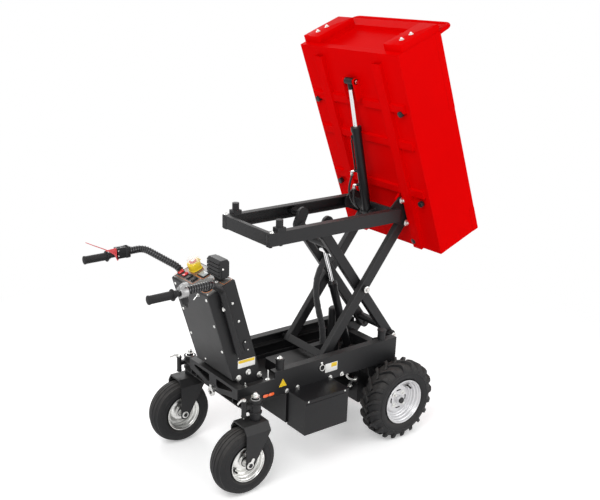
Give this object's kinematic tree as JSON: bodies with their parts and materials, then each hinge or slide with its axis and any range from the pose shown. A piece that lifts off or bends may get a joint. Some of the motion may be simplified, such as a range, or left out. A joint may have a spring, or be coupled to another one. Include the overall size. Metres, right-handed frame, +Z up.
{
  "type": "site dumper",
  "caption": "Walk-behind electric site dumper with two large drive wheels, rear castors, a scissor lift and a tipping tub, shown raised and tipped.",
  "frame": {"origin": "on the ground under the middle of the machine's box", "axes": "+X towards the tip end, +Y left, +Z up"},
  "size_m": [1.7794, 0.678, 1.9784],
  "materials": {
    "tyre": "matte",
    "silver_rim": "satin",
    "zinc": "satin",
    "black_paint": "satin",
    "yellow_plastic": "gloss",
    "black_plastic": "matte",
    "grip_rubber": "matte",
    "woven_sleeve": "matte",
    "chrome": "polished",
    "red_paint": "gloss"
  },
  "bodies": {
    "chassis": {"side_rail_l": "black_paint", "side_rail_r": "black_paint", "rear_crossmember": "black_paint", "floor_pan": "black_paint", "castor_housing_l": "black_paint", "castor_housing_r": "black_paint", "battery_box": "black_paint", "drive_unit": "black_paint", "hydraulic_pack": "black_paint", "hose_sleeve": "woven_sleeve", "tow_eye": "zinc", "console": "black_paint", "emergency_stop": "yellow_plastic", "headlamp": "black_plastic", "handlebar_l": "black_paint", "handlebar_r": "black_paint", "grip_l": "grip_rubber", "grip_r": "grip_rubber"},
    "drive_wheel_l": {"drive_tyre_l": "tyre", "drive_rim_l": "silver_rim"},
    "drive_wheel_r": {"drive_tyre_r": "tyre", "drive_rim_r": "silver_rim"},
    "castor_l": {"castor_fork_l": "black_paint"},
    "castor_r": {"castor_fork_r": "black_paint"},
    "castor_wheel_l": {"castor_tyre_l": "tyre", "castor_rim_l": "zinc"},
    "castor_wheel_r": {"castor_tyre_r": "tyre", "castor_rim_r": "zinc"},
    "inner_arms": {"inner_arm_l": "black_paint", "inner_arm_r": "black_paint", "inner_cross_low": "black_paint", "lift_cross": "black_paint"},
    "outer_arms": {"outer_arm_l": "black_paint", "outer_arm_r": "black_paint", "outer_cross": "black_paint"},
    "platform": {"deck_rail_l": "black_paint", "deck_rail_r": "black_paint", "deck_rear_bar": "black_paint", "deck_front_bar": "black_paint"},
    "lift_barrel": {"lift_barrel": "black_paint"},
    "lift_rod": {"lift_rod": "chrome"},
    "tip_barrel": {"tip_barrel": "black_paint"},
    "tip_rod": {"tip_rod": "chrome"},
    "bed": {"bed_floor": "red_paint", "bed_side_l": "red_paint", "bed_side_r": "red_paint", "bed_rear_wall": "red_paint", "bed_gate": "red_paint", "bed_rib_l": "red_paint", "bed_rib_r": "red_paint", "tip_bracket": "red_paint"}
  },
  "joints": [
    {"name": "drive_wheel_spin_l", "type": "hinge", "parent": "chassis", "child": "drive_wheel_l", "pos_m": [0.481, 0.271, 0.2], "axis": [0, 1, 0], "continuous": true},
    {"name": "castor_swivel_l", "type": "hinge", "parent": "chassis", "child": "castor_l", "pos_m": [-0.368, 0.272, 0.333], "axis": [0, 0, 1], "continuous": true},
    {"name": "castor_wheel_spin_l", "type": "hinge", "parent": "castor_l", "child": "castor_wheel_l", "pos_m": [-0.433, 0.272, 0.155], "axis": [0, 1, 0], "continuous": true},
    {"name": "drive_wheel_spin_r", "type": "hinge", "parent": "chassis", "child": "drive_wheel_r", "pos_m": [0.481, -0.271, 0.2], "axis": [0, 1, 0], "continuous": true},
    {"name": "castor_swivel_r", "type": "hinge", "parent": "chassis", "child": "castor_r", "pos_m": [-0.368, -0.272, 0.333], "axis": [0, 0, 1], "continuous": true},
    {"name": "castor_wheel_spin_r", "type": "hinge", "parent": "castor_r", "child": "castor_wheel_r", "pos_m": [-0.433, -0.272, 0.155], "axis": [0, 1, 0], "continuous": true},
    {"name": "scissor_lift", "type": "hinge", "parent": "chassis", "child": "inner_arms", "pos_m": [0.573, 0, 0.457], "axis": [0, -1, 0], "range_deg": [0, 47], "deforming": ["hose_sleeve"]},
    {"name": "scissor_middle", "type": "hinge", "parent": "inner_arms", "child": "outer_arms", "pos_m": [0.34913, 0, 0.75409], "axis": [0, 1, 0], "range_deg": [0, 94]},
    {"name": "platform_level", "type": "hinge", "parent": "outer_arms", "child": "platform", "pos_m": [0.573, 0, 1.05119], "axis": [0, -1, 0], "range_deg": [0, 47]},
    {"name": "bed_tip", "type": "hinge", "parent": "platform", "child": "bed", "pos_m": [0.535, 0, 1.16518], "axis": [0, -1, 0], "range_deg": [0, 68.6]},
    {"name": "lift_barrel_pivot", "type": "hinge", "parent": "chassis", "child": "lift_barrel", "pos_m": [0.389, 0, 0.398], "axis": [0, -1, 0], "range_deg": [0, 55.4]},
    {"name": "lift_rod_slide", "type": "slide", "parent": "lift_barrel", "child": "lift_rod", "axis": [0.3126, 0, -0.9499], "range_m": [0, 0.13648]},
    {"name": "tip_barrel_pivot", "type": "hinge", "parent": "platform", "child": "tip_barrel", "pos_m": [0.469, 0, 1.08319], "axis": [0, -1, 0], "range_deg": [0, 67.85]},
    {"name": "tip_rod_slide", "type": "slide", "parent": "tip_barrel", "child": "tip_rod", "axis": [0.2298, 0, -0.9732], "range_m": [0, 0.11855]}
  ],
  "couplings": [
    {"joint": "scissor_middle", "follows": "scissor_lift", "ratio": 2},
    {"joint": "platform_level", "follows": "scissor_lift", "ratio": 1},
    {"joint": "lift_barrel_pivot", "follows": "scissor_lift", "ratio": 1.1778},
    {"joint": "lift_rod_slide", "follows": "scissor_lift", "m_per_rad": 0.16614},
    {"joint": "tip_barrel_pivot", "follows": "bed_tip", "ratio": 0.9883},
    {"joint": "tip_rod_slide", "follows": "bed_tip", "m_per_rad": 0.098849}
  ]
}
